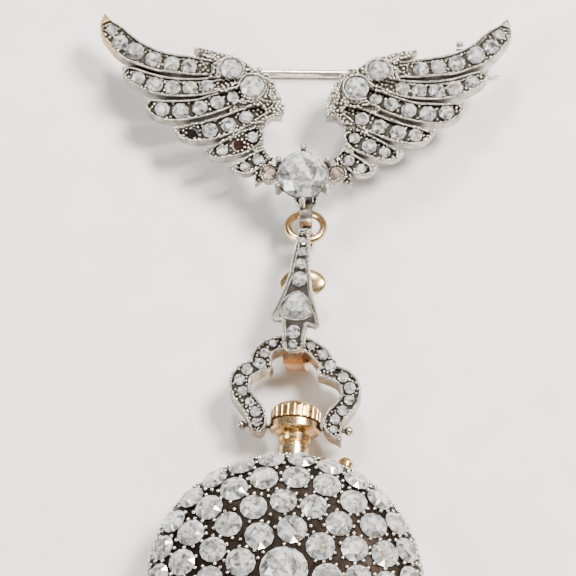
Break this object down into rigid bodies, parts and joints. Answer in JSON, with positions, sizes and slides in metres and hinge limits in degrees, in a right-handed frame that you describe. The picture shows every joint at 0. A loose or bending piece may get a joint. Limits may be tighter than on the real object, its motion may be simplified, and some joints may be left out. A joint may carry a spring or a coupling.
{
  "type": "chatelaine watch pin",
  "caption": "Winged brooch set with old-cut stones, from which a hook and a stone-set bow carry a small pendant watch with a domed, stone-set back.",
  "frame": {"origin": "centre of the bounding box in X and Y, at the level of the surface that the piece lies on", "axes": "+X along the wings towards the pin's point, +Y from the watch towards the wings, +Z out of the stone-set front"},
  "size_m": [0.04, 0.0712, 0.0099],
  "materials": {
    "silver": "worn silver, dark in the recesses",
    "gold": "worn rose-yellow gold",
    "pin_steel": "pale worn metal",
    "diamond": "old-cut and rose-cut stones",
    "crystal": "polished, bevelled edge",
    "enamel": "white enamel",
    "hands": "gilt",
    "movement": "gilt, frosted"
  },
  "bodies": {
    "brooch": {"wing_frame": "silver", "centre_stone": "diamond", "shoulder_stone_right_outer": "diamond", "shoulder_stone_right_inner": "diamond", "shoulder_stone_left_outer": "diamond", "shoulder_stone_left_inner": "diamond", "side_stone_right": "diamond", "side_stone_left": "diamond", "wing_stones_right": "diamond", "wing_stones_left": "diamond", "strap_link": "silver", "jump_ring": "gold", "hook_front": "silver", "hook_body": "gold", "hook_kite_stone": "diamond", "hook_stones": "diamond", "bow": "gold", "bow_front": "silver", "bow_stones": "diamond"},
    "pin": {"pin_stem": "pin_steel"},
    "gate": {"gate": "gold"},
    "watch": {"screw_right": "silver", "screw_left": "silver", "pendant": "gold", "case_band": "gold", "case_dome": "silver", "apex_stone": "diamond", "dome_stones_1": "diamond", "dome_stones_2": "diamond", "dome_stones_3": "diamond", "dome_stones_4": "diamond", "bezel": "gold", "crystal": "crystal", "dial": "enamel", "hour_hand": "hands", "minute_hand": "hands", "movement": "movement"},
    "crown": {"crown": "gold"},
    "pusher": {"pusher": "gold"}
  },
  "joints": [
    {"name": "pin_swing", "type": "hinge", "parent": "brooch", "child": "pin", "pos_m": [-0.0155, 0.0315, 0.001], "axis": [0, 1, 0], "range_deg": [0, 60]},
    {"name": "gate_swing", "type": "hinge", "parent": "brooch", "child": "gate", "pos_m": [-0.00004, 0.00495, 0.00276], "axis": [0.9825, -0.067, 0.1736], "range_deg": [0, 14], "stiffness_Nm_per_rad": 0.0002, "springref_deg": -11.46},
    {"name": "watch_swing", "type": "hinge", "parent": "brooch", "child": "watch", "pos_m": [-0.00033, -0.00632, 0.0031], "axis": [0.9988, -0.0489, 0], "range_deg": [-60, 60]},
    {"name": "crown_turn", "type": "hinge", "parent": "watch", "child": "crown", "pos_m": [-0.00026, -0.00482, 0.0031], "axis": [0.0489, 0.9988, 0], "continuous": true},
    {"name": "pusher_press", "type": "slide", "parent": "watch", "child": "pusher", "axis": [-0.3875, -0.9219, 0], "range_m": [0, 0.0004], "stiffness_N_per_m": 200, "springref_m": -0.0004}
  ]
}
